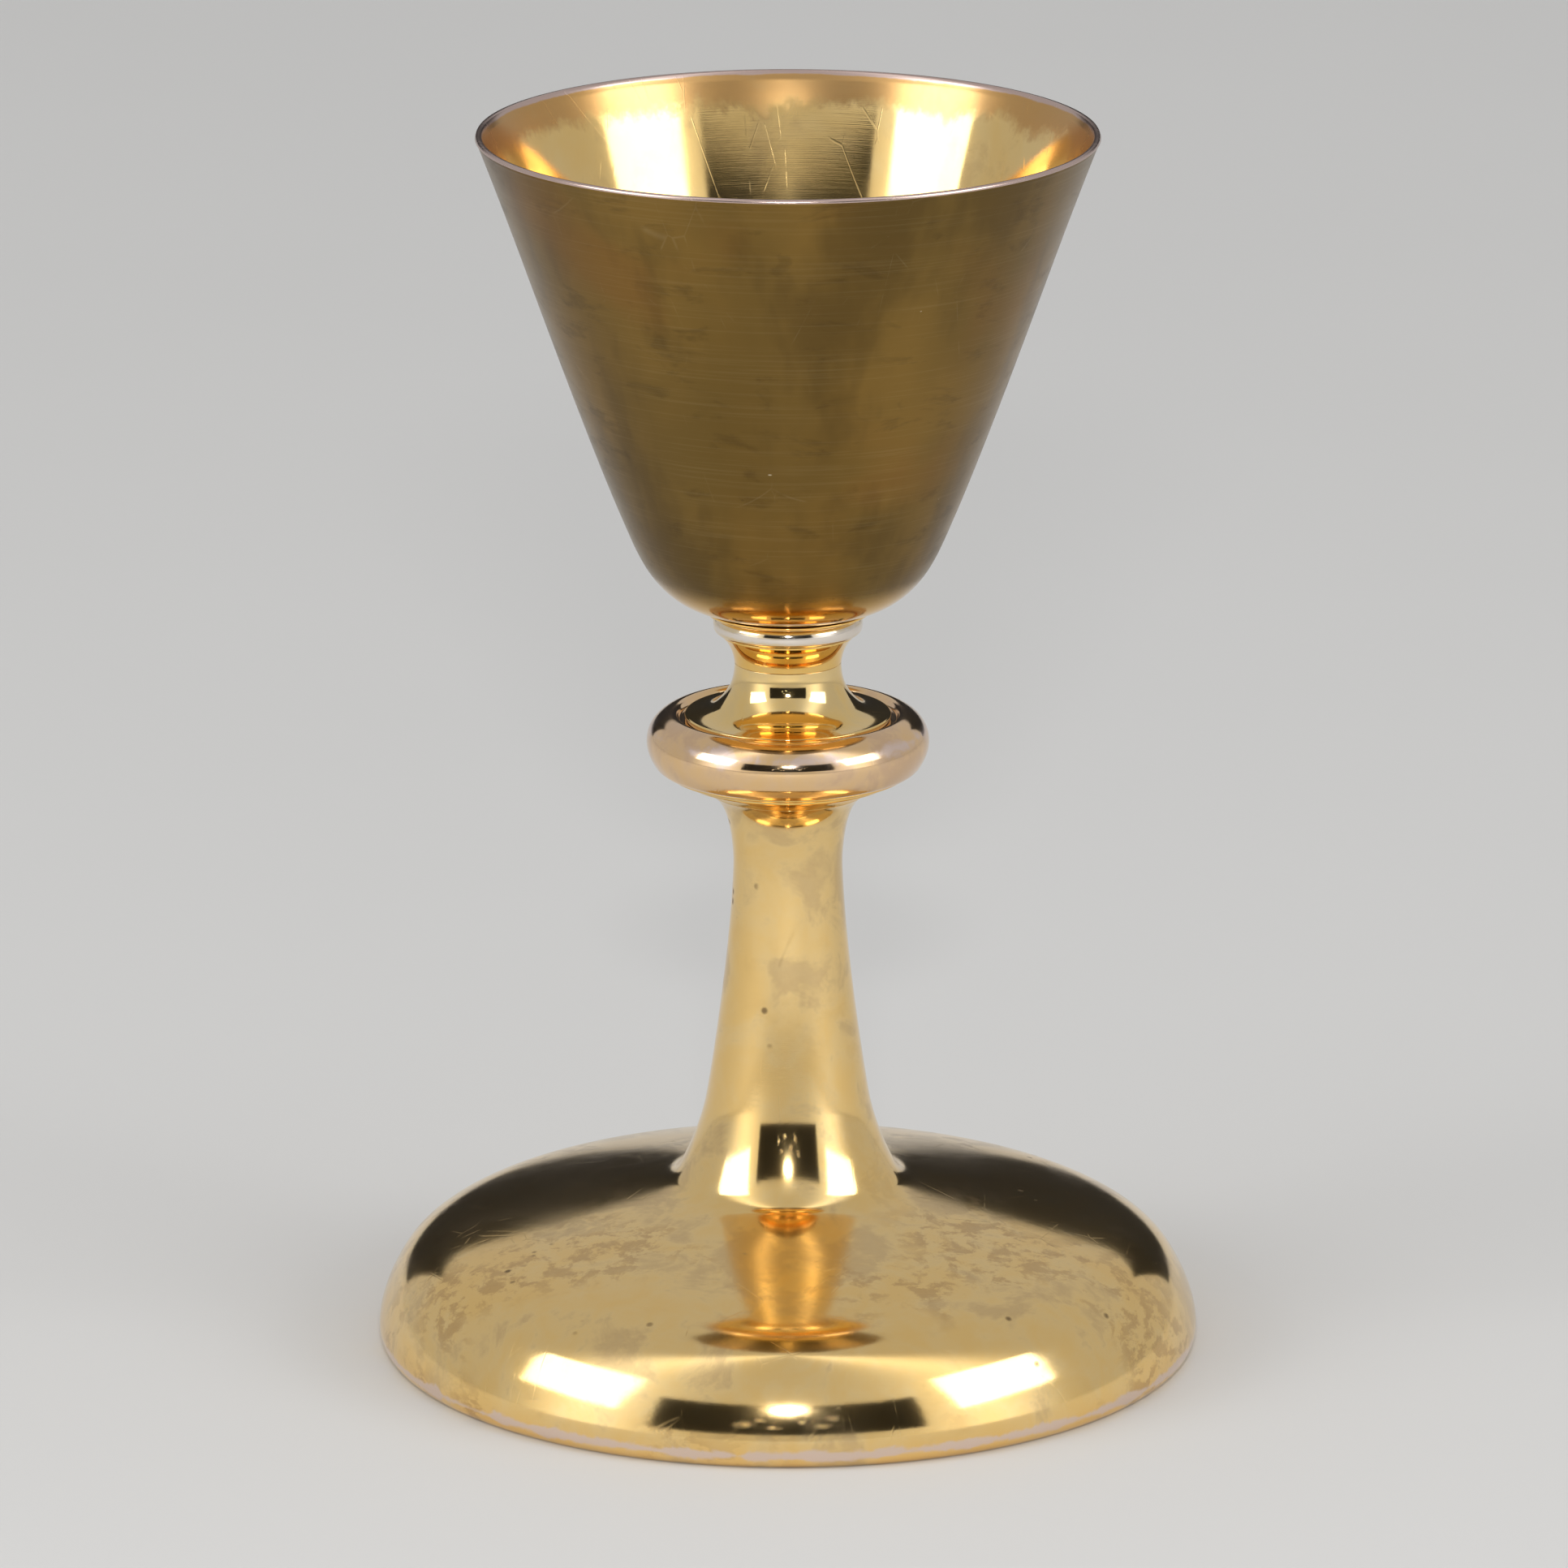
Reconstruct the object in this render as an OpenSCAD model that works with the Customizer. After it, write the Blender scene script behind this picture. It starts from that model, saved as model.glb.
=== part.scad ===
// Standing church cup (chalice or open ciborium): spun bowl, neck rings,
// ringed knop, tapered stem and wide spun foot, all drawn together by one
// tie rod and a nut inside the foot. Millimetres, +Z up, origin at the
// centre of the foot where it stands.

/* [Cup] */
// Overall height, table to rim
total_h = 197; // [190:1:206]
// Outside radius of the rim
rim_r = 48.7; // [46:0.1:52]
// Sheet thickness of the bowl
cup_t = 1.1; // [0.9:0.1:1.4]
// Radius of the dished flange under the bowl
flange_r = 13; // [12.4:0.1:14]

/* [Knop] */
// Largest radius of the knop band
knop_r = 22.3; // [21:0.1:24]
// Outside radius of the bright ring above the knop
ring_r = 11.8; // [11.2:0.1:12.4]
// Sheet thickness of the knop shells
knop_t = 1; // [0.8:0.1:1.2]

/* [Foot] */
// Largest radius of the foot
foot_r = 65.4; // [62:0.1:68]
// Sheet thickness of the stem and foot
foot_t = 1; // [0.8:0.1:1.2]
// Width of the stiffening ring inside the foot edge
wire_w = 2.4; // [2:0.1:3]

/* [Hardware] */
// Tie rod radius over its thread
rod_r = 3; // [2.5:0.1:3]
// Clearance of plain holes round the tie rod
rod_gap = 0.3; // [0.3:0.05:0.5]
// Width of the clamp nut across its flats
nut_af = 10; // [10:0.5:11]
// Thickness of the clamp nut
nut_h = 5; // [4:0.5:5.5]

/* [Hidden] */
$fn = 96;

// Heights of the joints between the pieces
z_lip = 91;        // top of the stem, under the knop
z_neck = 112.1;    // top of the knop, under the hollow moulding
z_mould = 116.9;   // top of the hollow moulding
z_ring = 119.85;   // top of the bright ring
z_seat = 119.9;    // underside of the flange
z_bowl = 121.2;    // level where the bowl leaves the flange

z_plate = 21.4;    // underside of the tension plate
plate_h = 2.6;
washer_h = 1.6;
lock_h = 1.5;
z_washer = z_plate - 0.02;
z_lock = z_washer - washer_h - 0.02;
z_nut = z_lock - lock_h - 0.05;
rod_end = z_nut - nut_h - 2.6;

// --- curves -------------------------------------------------------------
// point on a cubic curve
function bz(a, b, c, d, t) =
    pow(1 - t, 3) * a + 3 * t * pow(1 - t, 2) * b
    + 3 * t * t * (1 - t) * c + t * t * t * d;
// n steps along a cubic curve, the last point left out
function arc_of(q, n) = [for (i = [0 : n - 1]) bz(q[0], q[1], q[2], q[3], i / n)];
// unit normal at point i of a chain, to the left of its direction
function nrm(p, i) =
    let (a = p[max(i - 1, 0)], b = p[min(i + 1, len(p) - 1)], d = b - a)
    [-d[1], d[0]] / norm(d);
// chain moved sideways by t
function side(p, t) = [for (i = [0 : len(p) - 1]) p[i] + t * nrm(p, i)];
function back(p) = [for (i = [len(p) - 1 : -1 : 0]) p[i]];

kf = foot_r / 65.4;
kk = knop_r / 22.3;
kr = rim_r / 48.7;
zc = (total_h - z_bowl) / (197 - 121.2);
// bowl point from radius and height
function cp(r, z) = [r * (1 + (kr - 1) * (z - 121.2) / 75.8), z_bowl + (z - 121.2) * zc];
function fp(r, z) = [r * (1 + (kf - 1) * min(1, max(0, (r - 14) / 30))), z];

// --- bowl ---------------------------------------------------------------
cup_low = [cp(13.2, 121), cp(20.2, 122.8), cp(22.9, 127.9), cp(25.4, 134.2)];
cup_mid = [cp(25.4, 134.2), cp(29.2, 143), cp(35, 159), cp(41, 176)];
cup_top = [cp(41, 176), cp(43.6, 183.4), cp(46.4, 191), cp(48.3, 195.9)];
function cup_outer(n) = concat(
    [[0, 120.5], [8.4, 120.5]],
    arc_of([[8.4, 120.5], [10.6, 120.5], [12.2, 120.8], cup_low[0]], 3),
    arc_of(cup_low, n), arc_of(cup_mid, n), arc_of(cup_top, 4),
    [cup_top[3]]);

module cup() {
    color([0.83, 0.64, 0.28])
    rotate_extrude() {
        o = cup_outer(8);
        s = [for (i = [2 : len(o) - 1]) o[i]];
        in = side(s, cup_t);
        polygon(concat(
            [[0, 120.5]], s,
            [[rim_r - 0.06, total_h - 0.55], [rim_r - 0.3, total_h],
             [rim_r - 0.95, total_h], [rim_r - 1.2, total_h - 0.35]],
            back([for (i = [1 : len(in) - 1]) in[i]]),
            [[8.4, 120.5 + cup_t], [0, 120.5 + cup_t]]));
    }
}

// --- pieces soldered under the bowl -------------------------------------
module cup_boss() {
    color([0.72, 0.58, 0.30])
    difference() {
        union() {
            translate([0, 0, 113.2]) cylinder(r = 6, h = 120.45 - 113.2);
        }
        translate([0, 0, 113]) cylinder(r = rod_r + 0.05, h = 5.5);
    }
}

module saucer_flange() {
    color([0.88, 0.62, 0.20])
    rotate_extrude()
    polygon(concat(
        [[6.1, z_seat], [11.5, z_seat]],
        arc_of([[11.5, z_seat], [12.1, z_seat], [12.7, 120.1], [flange_r, 120.45]], 5),
        [[flange_r, 120.45], [flange_r, 120.7], [flange_r - 0.15, 120.76],
         [12.1, 120.62], [10.4, 120.46], [8.4, 120.42], [6.1, 120.42]]));
}

module tie_rod() {
    color([0.66, 0.62, 0.52])
    translate([0, 0, rod_end]) {
        cylinder(r1 = rod_r - 0.6, r2 = rod_r, h = 0.6);
        translate([0, 0, 0.6]) cylinder(r = rod_r, h = 118.2 - rod_end - 0.6);
    }
}

// --- loose rings between bowl and knop ----------------------------------
module packing_ring() {
    color([0.35, 0.22, 0.12])
    rotate_extrude() polygon([[7.6, z_ring - 0.5], [10.4, z_ring - 0.5],
                              [10.4, z_ring], [7.6, z_ring]]);
}

module neck_ring() {
    color([0.80, 0.76, 0.72])
    rotate_extrude()
    polygon(concat(
        [[7, z_mould + 0.02], [10.5, z_mould + 0.02]],
        arc_of([[10.5, z_mould + 0.02], [11.4, z_mould + 0.02],
                [ring_r, z_mould + 0.5], [ring_r, z_mould + 1.35]], 5),
        arc_of([[ring_r, z_mould + 1.35], [ring_r, z_mould + 2.2],
                [11.5, z_ring - 0.1], [11, z_ring - 0.1]], 5),
        [[11, z_ring - 0.1], [10.5, z_ring - 0.1], [10.5, z_ring - 0.52],
         [7, z_ring - 0.52]]));
}

module neck_moulding() {
    color([0.86, 0.58, 0.18])
    rotate_extrude()
    polygon(concat(
        [[6.3, z_neck + 0.02], [8.45, z_neck + 0.02]],
        arc_of([[8.45, z_neck + 0.02], [8.6, 113.6], [9.2, 115.2], [10.4, 116.4]], 6),
        [[10.4, 116.4], [10.6, 116.6], [10.6, z_mould], [6.3, z_mould]]));
}

// --- knop ---------------------------------------------------------------
module knop_upper_shell() {
    color([0.86, 0.70, 0.36])
    rotate_extrude() {
        o = concat([[8.43, z_neck], [8.43, 111.4]],
            arc_of([[8.46, 111], [8.6, 108.6], [9.6, 106.6], [11.9, 104.8]], 7),
            arc_of([[11.9, 104.8], [13, 104.1], [14.6, 103.8], [16.1 * kk, 103.75]], 4),
            [[16.1 * kk, 103.75], [16.3 * kk, 103.6]]);
        polygon(concat(o,
            [[16.3 * kk, 103.3], [16.1 * kk, 102.85], [14.6, 102.8]],
            arc_of([[13, 102.9], [10.2, 104.4], [7.6, 107.4], [7.4, 111]], 6),
            [[7.4, 111], [7.4, z_neck]]));
    }
}

band_out = concat(
    arc_of([[17.4 * kk, 103.3], [17.6 * kk, 103.8], [18 * kk, 104], [18.6 * kk, 103.9]], 3),
    arc_of([[18.6 * kk, 103.9], [20.6 * kk, 103.4], [knop_r, 101.6], [knop_r, 99.2]], 7),
    arc_of([[knop_r, 99.2], [knop_r, 98], [21.9 * kk, 97], [21.3 * kk, 96]], 4),
    arc_of([[21.3 * kk, 96], [20.9 * kk, 95.2], [20.3 * kk, 94.75], [19.4 * kk, 94.7]], 4),
    [[19.4 * kk, 94.7]]);

module knop_band() {
    color([0.85, 0.66, 0.42])
    rotate_extrude() {
        s = side(band_out, -knop_t);
        polygon(concat(band_out, [[18.6 * kk, 94.7], [18.6 * kk, 95.7]],
            back([for (i = [4 : len(s) - 2]) s[i]]),
            [[18.2 * kk, 102.2], [15.2 * kk, 102.2], [15.2 * kk, 102.78],
             [17.1 * kk, 102.78]]));
    }
}

module knop_lower_shell() {
    color([0.82, 0.62, 0.26])
    rotate_extrude()
    polygon(concat(
        [[10.8, z_lip + 0.02], [12.4, z_lip + 0.02]],
        arc_of([[12.4, z_lip + 0.02], [13.4, 92.1], [14.8, 92.8], [16.2 * kk, 93]], 5),
        [[16.2 * kk, 93], [16.7 * kk, 93.05], [16.95 * kk, 93.3], [16.95 * kk, 93.7],
         [17.2 * kk, 94], [19 * kk, 94.15], [19.4 * kk, 94.4], [19.4 * kk, 94.68],
         [16.2 * kk, 94.68], [14.4, 94.2]],
        [[12.6, 93.4], [10.8, 92.2]]));
}

// sleeve inside the knop that carries the pull of the rod
module spacer_tube() {
    color([0.70, 0.56, 0.30])
    difference() {
        translate([0, 0, 91.82]) cylinder(r = 7.1, h = z_neck - 91.82);
        translate([0, 0, 91]) cylinder(r = 5.2, h = 22);
    }
}

// --- stem and foot ------------------------------------------------------
stem_top = [[12.4, z_lip], [10.1, 89.6], [9, 86.6], [8.62, 80]];
stem_mid = [[8.62, 80], [8.75, 70], [11, 52], [13.1, 40]];
flare = [[13.1, 40], [14, 36], [15.5, 32], [17.5, 28.4]];
turn_out = [[17.5, 28.4], [18.1, 27.3], [19.2, 26.7], [21.5, 26.2]];
slope_a = [[21.5, 26.2], fp(30, 24.35), fp(44, 21.9), fp(52, 19.6)];
shoulder = [fp(52, 19.6), fp(57, 18.2), fp(60.8, 15.4), fp(62.4, 12.1)];
roll = [fp(62.4, 12.1), fp(63.6, 10.2), fp(65.4, 6.2), fp(65.4, 3)];
under = [fp(65.4, 3), fp(65.4, 1.3), fp(64.6, 0.3), fp(63.4, 0)];
foot_out = concat(arc_of(stem_top, 5), arc_of(stem_mid, 6), arc_of(flare, 4),
                  arc_of(turn_out, 4), arc_of(slope_a, 6), arc_of(shoulder, 5), arc_of(roll, 5),
                  arc_of(under, 4), [under[3]]);
foot_in = concat(arc_of(stem_top, 3), arc_of(stem_mid, 3), arc_of(flare, 3),
                 arc_of(turn_out, 3), arc_of(slope_a, 4), arc_of(shoulder, 3), arc_of(roll, 3),
                 arc_of(under, 2), [under[3]]);

module foot_shell() {
    color([0.84, 0.66, 0.30])
    rotate_extrude() {
        s = side(foot_in, -foot_t);
        polygon(concat(foot_out, [[foot_r - 3, 0]],
            back([for (i = [1 : len(s) - 2]) s[i]]),
            [[10.9, z_lip]]));
    }
}

module stem_bush() {
    color([0.70, 0.56, 0.30])
    difference() {
        translate([0, 0, 77.8]) cylinder(r = 7.35, h = 14);
        translate([0, 0, 77]) cylinder(r = rod_r + rod_gap, h = 16);
    }
}

module foot_rim_wire() {
    color([0.74, 0.60, 0.32])
    rotate_extrude()
    polygon([[foot_r - 3.05 - wire_w, 0], [foot_r - 3.05, 0],
             [foot_r - 3.05, 1.2], [foot_r - 3.6, 1.8],
             [foot_r - 2.6 - wire_w, 1.8], [foot_r - 3.05 - wire_w, 1.3]]);
}

// --- clamp inside the foot ----------------------------------------------
module tension_plate() {
    color([0.62, 0.58, 0.48])
    rotate_extrude()
    polygon([[rod_r + rod_gap, z_plate], [19, z_plate], [20.6, z_plate + 1.2],
             [20.6, z_plate + 2.95], [17.6, z_plate + 4.15], [17, z_plate + plate_h],
             [rod_r + rod_gap, z_plate + plate_h]]);
}

module plate_pad() {
    color([0.36, 0.24, 0.14])
    rotate_extrude()
    polygon([[17.6, z_plate + 4.2], [20.6, z_plate + 3], [20.6, z_plate + 3.9],
             [19, z_plate + 4.4], [17.6, z_plate + 5.1]]);
}

module flat_washer() {
    color([0.70, 0.70, 0.70])
    difference() {
        translate([0, 0, z_washer - washer_h]) cylinder(r = 6, h = washer_h);
        translate([0, 0, z_washer - washer_h - 1]) cylinder(r = rod_r + rod_gap, h = washer_h + 2);
    }
}

module lock_washer() {
    color([0.64, 0.64, 0.66])
    difference() {
        translate([0, 0, z_lock - lock_h]) cylinder(r = 5.4, h = lock_h);
        translate([0, 0, z_lock - lock_h - 1]) cylinder(r = rod_r + rod_gap, h = lock_h + 2);
        translate([2, -0.5, z_lock - lock_h - 1]) cube([5, 1, lock_h + 2]);
    }
}

module clamp_nut() {
    color([0.72, 0.60, 0.34])
    difference() {
        intersection() {
            translate([0, 0, z_nut - nut_h])
            linear_extrude(nut_h)
            polygon([for (i = [0 : 5]) nut_af / 2 / cos(30) * [cos(60 * i), sin(60 * i)]]);
            translate([0, 0, z_nut - nut_h])
            union() {
                cylinder(r1 = nut_af / 2 * 0.98, r2 = nut_af / 2 * 1.16, h = 0.8);
                translate([0, 0, 0.8]) cylinder(r = nut_af / 2 * 1.16, h = nut_h - 1.6);
                translate([0, 0, nut_h - 0.8])
                cylinder(r1 = nut_af / 2 * 1.16, r2 = nut_af / 2 * 0.98, h = 0.8);
            }
        }
        translate([0, 0, z_nut - nut_h - 1]) cylinder(r = rod_r + 0.05, h = nut_h + 2);
    }
}

// --- pieces -------------------------------------------------------------
cup();
cup_boss();
saucer_flange();
tie_rod();
packing_ring();
neck_ring();
neck_moulding();
knop_upper_shell();
knop_band();
knop_lower_shell();
spacer_tube();
foot_shell();
stem_bush();
foot_rim_wire();
tension_plate();
plate_pad();
flat_washer();
lock_washer();
clamp_nut();
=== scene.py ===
import math

import bpy
import numpy as np
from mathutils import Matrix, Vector


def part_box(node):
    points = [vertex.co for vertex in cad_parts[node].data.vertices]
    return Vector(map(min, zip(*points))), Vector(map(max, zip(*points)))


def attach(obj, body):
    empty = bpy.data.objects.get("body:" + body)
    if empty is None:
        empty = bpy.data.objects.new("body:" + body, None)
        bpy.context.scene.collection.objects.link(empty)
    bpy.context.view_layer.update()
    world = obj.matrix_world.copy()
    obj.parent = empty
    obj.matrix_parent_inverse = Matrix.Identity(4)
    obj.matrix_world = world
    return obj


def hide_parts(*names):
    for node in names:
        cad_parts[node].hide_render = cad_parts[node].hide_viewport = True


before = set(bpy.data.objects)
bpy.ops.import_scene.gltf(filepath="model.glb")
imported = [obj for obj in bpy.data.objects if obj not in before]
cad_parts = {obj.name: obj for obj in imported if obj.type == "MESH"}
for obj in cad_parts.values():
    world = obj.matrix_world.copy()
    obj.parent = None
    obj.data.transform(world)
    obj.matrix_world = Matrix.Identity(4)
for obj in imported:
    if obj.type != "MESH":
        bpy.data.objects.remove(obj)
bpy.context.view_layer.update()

MM = 0.001


# ------------------------------------------------------------------ profiles
def bz(q, t):
    a, b, c, d = [np.array(p, float) for p in q]
    return (1 - t) ** 3 * a + 3 * t * (1 - t) ** 2 * b + 3 * t * t * (1 - t) * c + t ** 3 * d


def curve(q, step=0.45):
    q = [np.array(p, float) for p in q]
    length = sum(np.linalg.norm(q[i + 1] - q[i]) for i in range(3))
    n = max(4, int(math.ceil(length / step)))
    return [tuple(bz(q, i / n)) for i in range(n + 1)]


def chain(*parts):
    out = []
    for part in parts:
        for p in part:
            if not out or math.hypot(out[-1][0] - p[0], out[-1][1] - p[1]) > 1e-4:
                out.append((float(p[0]), float(p[1])))
    return out


def resample(pts, step):
    """Points about one step apart along the chain; ends kept."""
    p = np.array(pts, float)
    d = np.r_[0, np.cumsum(np.linalg.norm(np.diff(p, axis=0), axis=1))]
    n = max(2, int(round(d[-1] / step)))
    s = np.linspace(0, d[-1], n + 1)
    return [tuple(x) for x in np.c_[np.interp(s, d, p[:, 0]), np.interp(s, d, p[:, 1])]]


def smooth(pts, sigma, step=0.3):
    """Evens the curvature of an open chain; its ends stay where they are."""
    p = np.array(resample(pts, step), float)
    w = max(1, int(3 * sigma / step))
    k = np.exp(-0.5 * (np.arange(-w, w + 1) * step / sigma) ** 2)
    k /= k.sum()
    head = 2 * p[0] - p[w:0:-1]
    tail = 2 * p[-1] - p[-2:-w - 2:-1]
    e = np.r_[head, p, tail]
    out = np.c_[np.convolve(e[:, 0], k, "valid"), np.convolve(e[:, 1], k, "valid")]
    out[0], out[-1] = p[0], p[-1]
    return [tuple(x) for x in out]


def offset(pts, t):
    p = np.array(pts, float)
    d = np.gradient(p, axis=0)
    n = np.c_[-d[:, 1], d[:, 0]] / np.linalg.norm(d, axis=1)[:, None]
    return [tuple(x) for x in p + t * n]


def rounded(pts, radius=0.12, limit=24, closed=True):
    """Softens every corner sharper than limit degrees with a short arc."""
    p = [np.array(x, float) for x in pts]
    n = len(p)
    out = []
    for i in range(n):
        if not closed and i in (0, n - 1):
            out.append(p[i])
            continue
        a, b, c = p[i - 1], p[i], p[(i + 1) % n]
        u, v = b - a, c - b
        lu, lv = np.linalg.norm(u), np.linalg.norm(v)
        if lu < 1e-9 or lv < 1e-9:
            continue
        turn = math.degrees(math.acos(max(-1, min(1, float(u @ v) / (lu * lv)))))
        if turn < limit or b[0] < 1e-6:
            out.append(b)
            continue
        r = min(radius, 0.45 * lu, 0.45 * lv)
        s, e = b - u / lu * r, b + v / lv * r
        for k in range(7):
            t = k / 6
            out.append((1 - t) ** 2 * s + 2 * t * (1 - t) * b + t * t * e)
    return [tuple(x) for x in out]


def solid_of_turning(name, pts, n=288, closed=True):
    """Turns a closed outline of (radius, height) in mm about Z; u runs round, v along the outline."""
    pts = [(max(0.0, r), z) for r, z in pts]
    verts, rings, faces, uvs = [], [], [], []
    for r, z in pts:
        if r < 1e-6:
            rings.append([len(verts)])
            verts.append((0.0, 0.0, z * MM))
        else:
            rings.append(list(range(len(verts), len(verts) + n)))
            for k in range(n):
                a = 2 * math.pi * k / n
                verts.append((r * math.cos(a) * MM, r * math.sin(a) * MM, z * MM))
    along = [0.0]
    m = len(pts)
    for i in range(1, m + 1):
        a, b = pts[i - 1], pts[i % m]
        along.append(along[-1] + math.hypot(a[0] - b[0], a[1] - b[1]))
    for i in range(m if closed else m - 1):
        a, b = rings[i], rings[(i + 1) % m]
        if len(a) == 1 and len(b) == 1:
            continue
        va, vb = along[i] * 0.01, along[i + 1] * 0.01
        for k in range(n):
            k2 = (k + 1) % n
            u, u2 = k / n, (k + 1) / n
            if len(a) == 1:
                faces.append((a[0], b[k2], b[k]))
                uvs.append(((u + u2) / 2, va)), uvs.append((u2, vb)), uvs.append((u, vb))
            elif len(b) == 1:
                faces.append((a[k], a[k2], b[0]))
                uvs.append((u, va)), uvs.append((u2, va)), uvs.append(((u + u2) / 2, vb))
            else:
                faces.append((a[k], a[k2], b[k2], b[k]))
                uvs += [(u, va), (u2, va), (u2, vb), (u, vb)]
    me = bpy.data.meshes.new(name)
    me.from_pydata(verts, [], faces)
    layer = me.uv_layers.new(name="UVMap")
    layer.data.foreach_set("uv", np.array(uvs, np.float32).ravel())
    me.polygons.foreach_set("use_smooth", [True] * len(me.polygons))
    me.update()
    ob = bpy.data.objects.new(name, me)
    bpy.context.scene.collection.objects.link(ob)
    return ob


def attribute(ob, name, values):
    a = ob.data.attributes.new(name, "FLOAT", "POINT")
    a.data.foreach_set("value", np.asarray(values, np.float32))


def coords(ob):
    co = np.zeros(len(ob.data.vertices) * 3, np.float32)
    ob.data.vertices.foreach_get("co", co)
    co = co.reshape(-1, 3) / MM
    return np.hypot(co[:, 0], co[:, 1]), co[:, 2]


# ------------------------------------------------------------------ materials
class Graph:
    def __init__(self, name):
        self.mat = bpy.data.materials.new(name)
        self.mat.use_nodes = True
        self.t = self.mat.node_tree
        self.t.nodes.clear()
        self.out = self.t.nodes.new("ShaderNodeOutputMaterial")
        self.bsdf = self.t.nodes.new("ShaderNodeBsdfPrincipled")
        self.t.links.new(self.bsdf.outputs[0], self.out.inputs[0])

    def put(self, socket, value):
        if isinstance(value, bpy.types.NodeSocket):
            self.t.links.new(value, socket)
        elif isinstance(value, (tuple, list)) and len(value) == 3 and socket.type == "RGBA":
            socket.default_value = (*value, 1)
        else:
            socket.default_value = value

    def node(self, kind, **attrs):
        n = self.t.nodes.new(kind)
        for k, v in attrs.items():
            setattr(n, k, v)
        return n

    def math(self, op, a, b=None, c=None, clamp=False):
        n = self.node("ShaderNodeMath", operation=op, use_clamp=clamp)
        for s, v in zip(n.inputs, (a, b, c)):
            if v is not None:
                self.put(s, v)
        return n.outputs[0]

    def step(self, value, low, high):
        """0 under low, 1 over high, smooth between."""
        n = self.node("ShaderNodeMapRange", interpolation_type="SMOOTHSTEP")
        self.put(n.inputs[0], value)
        self.put(n.inputs[1], low)
        self.put(n.inputs[2], high)
        return n.outputs[0]

    def lerp(self, value, low, high):
        n = self.node("ShaderNodeMapRange")
        self.put(n.inputs[0], value)
        n.inputs[3].default_value = low
        n.inputs[4].default_value = high
        return n.outputs[0]

    def mix(self, fac, a, b, blend="MIX"):
        n = self.node("ShaderNodeMix", data_type="RGBA", blend_type=blend)
        self.put(n.inputs[0], fac)
        self.put(n.inputs[6], a)
        self.put(n.inputs[7], b)
        return n.outputs[2]

    def vector(self, kind="Object"):
        return self.node("ShaderNodeTexCoord").outputs[kind]

    def scaled(self, v, s, shift=(0, 0, 0)):
        n = self.node("ShaderNodeMapping")
        self.put(n.inputs[0], v)
        n.inputs[1].default_value = shift
        n.inputs[3].default_value = s
        return n.outputs[0]

    def noise(self, v, scale, detail=4, rough=0.55, distortion=0.0):
        n = self.node("ShaderNodeTexNoise", noise_dimensions="3D")
        self.put(n.inputs["Vector"], v)
        n.inputs["Scale"].default_value = scale
        n.inputs["Detail"].default_value = detail
        n.inputs["Roughness"].default_value = rough
        n.inputs["Distortion"].default_value = distortion
        return n.outputs[0]

    def cells(self, v, scale, feature="F1", randomness=1.0):
        n = self.node("ShaderNodeTexVoronoi", feature=feature)
        self.put(n.inputs["Vector"], v)
        n.inputs["Scale"].default_value = scale
        n.inputs["Randomness"].default_value = randomness
        return n.outputs[0]

    def attr(self, name):
        return self.node("ShaderNodeAttribute", attribute_name=name).outputs["Fac"]

    def bump(self, height, distance, strength=1.0, normal=None):
        n = self.node("ShaderNodeBump")
        n.inputs["Strength"].default_value = strength
        n.inputs["Distance"].default_value = distance
        self.put(n.inputs["Height"], height)
        if normal is not None:
            self.put(n.inputs["Normal"], normal)
        return n.outputs[0]

    def round_marks(self):
        """Coordinates that run fast along the outline and slowly round the axis."""
        uv = self.node("ShaderNodeSeparateXYZ")
        self.put(uv.inputs[0], self.vector("UV"))
        xy = self.node("ShaderNodeSeparateXYZ")
        self.put(xy.inputs[0], self.vector("Object"))
        ang = self.math("ARCTAN2", xy.outputs[1], xy.outputs[0])
        c, s = self.math("COSINE", ang), self.math("SINE", ang)
        n = self.node("ShaderNodeCombineXYZ")
        self.put(n.inputs[0], c)
        self.put(n.inputs[1], s)
        self.put(n.inputs[2], uv.outputs[1])
        return n.outputs[0]

    def scratches(self, v, scale, width, density, seed):
        """Thin short random lines."""
        total = None
        for i, ang in enumerate((0.35, 1.25, 2.2, 2.9)):
            m = self.node("ShaderNodeMapping")
            self.put(m.inputs[0], v)
            m.inputs[1].default_value = (seed * 1.7 + i * 3.1, i * 5.3, seed * 0.9)
            m.inputs[2].default_value = (ang * 0.7, ang, ang * 1.3)
            m.inputs[3].default_value = (1, 1, 0.06)
            n = self.node("ShaderNodeTexVoronoi", feature="DISTANCE_TO_EDGE")
            self.put(n.inputs["Vector"], m.outputs[0])
            n.inputs["Scale"].default_value = scale
            line = self.math("SUBTRACT", 1, self.step(n.outputs[0], 0.0, width))
            keep = self.step(self.noise(self.scaled(v, (1, 1, 1), (seed * 2.3 + i, 7.7 * i, 1)), scale * 1.1, 4), density, density + 0.08)
            part = self.math("MULTIPLY", line, keep)
            total = part if total is None else self.math("MAXIMUM", total, part)
        return total

    def finish(self, color, rough, normal=None, metallic=1.0):
        self.put(self.bsdf.inputs["Base Color"], color)
        self.put(self.bsdf.inputs["Roughness"], rough)
        self.put(self.bsdf.inputs["Metallic"], metallic)
        if normal is not None:
            self.put(self.bsdf.inputs["Normal"], normal)
        return self.mat


GOLD = (0.93, 0.63, 0.22)
GOLD_DEEP = (0.92, 0.56, 0.15)
GOLD_PALE = (0.90, 0.68, 0.33)


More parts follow.
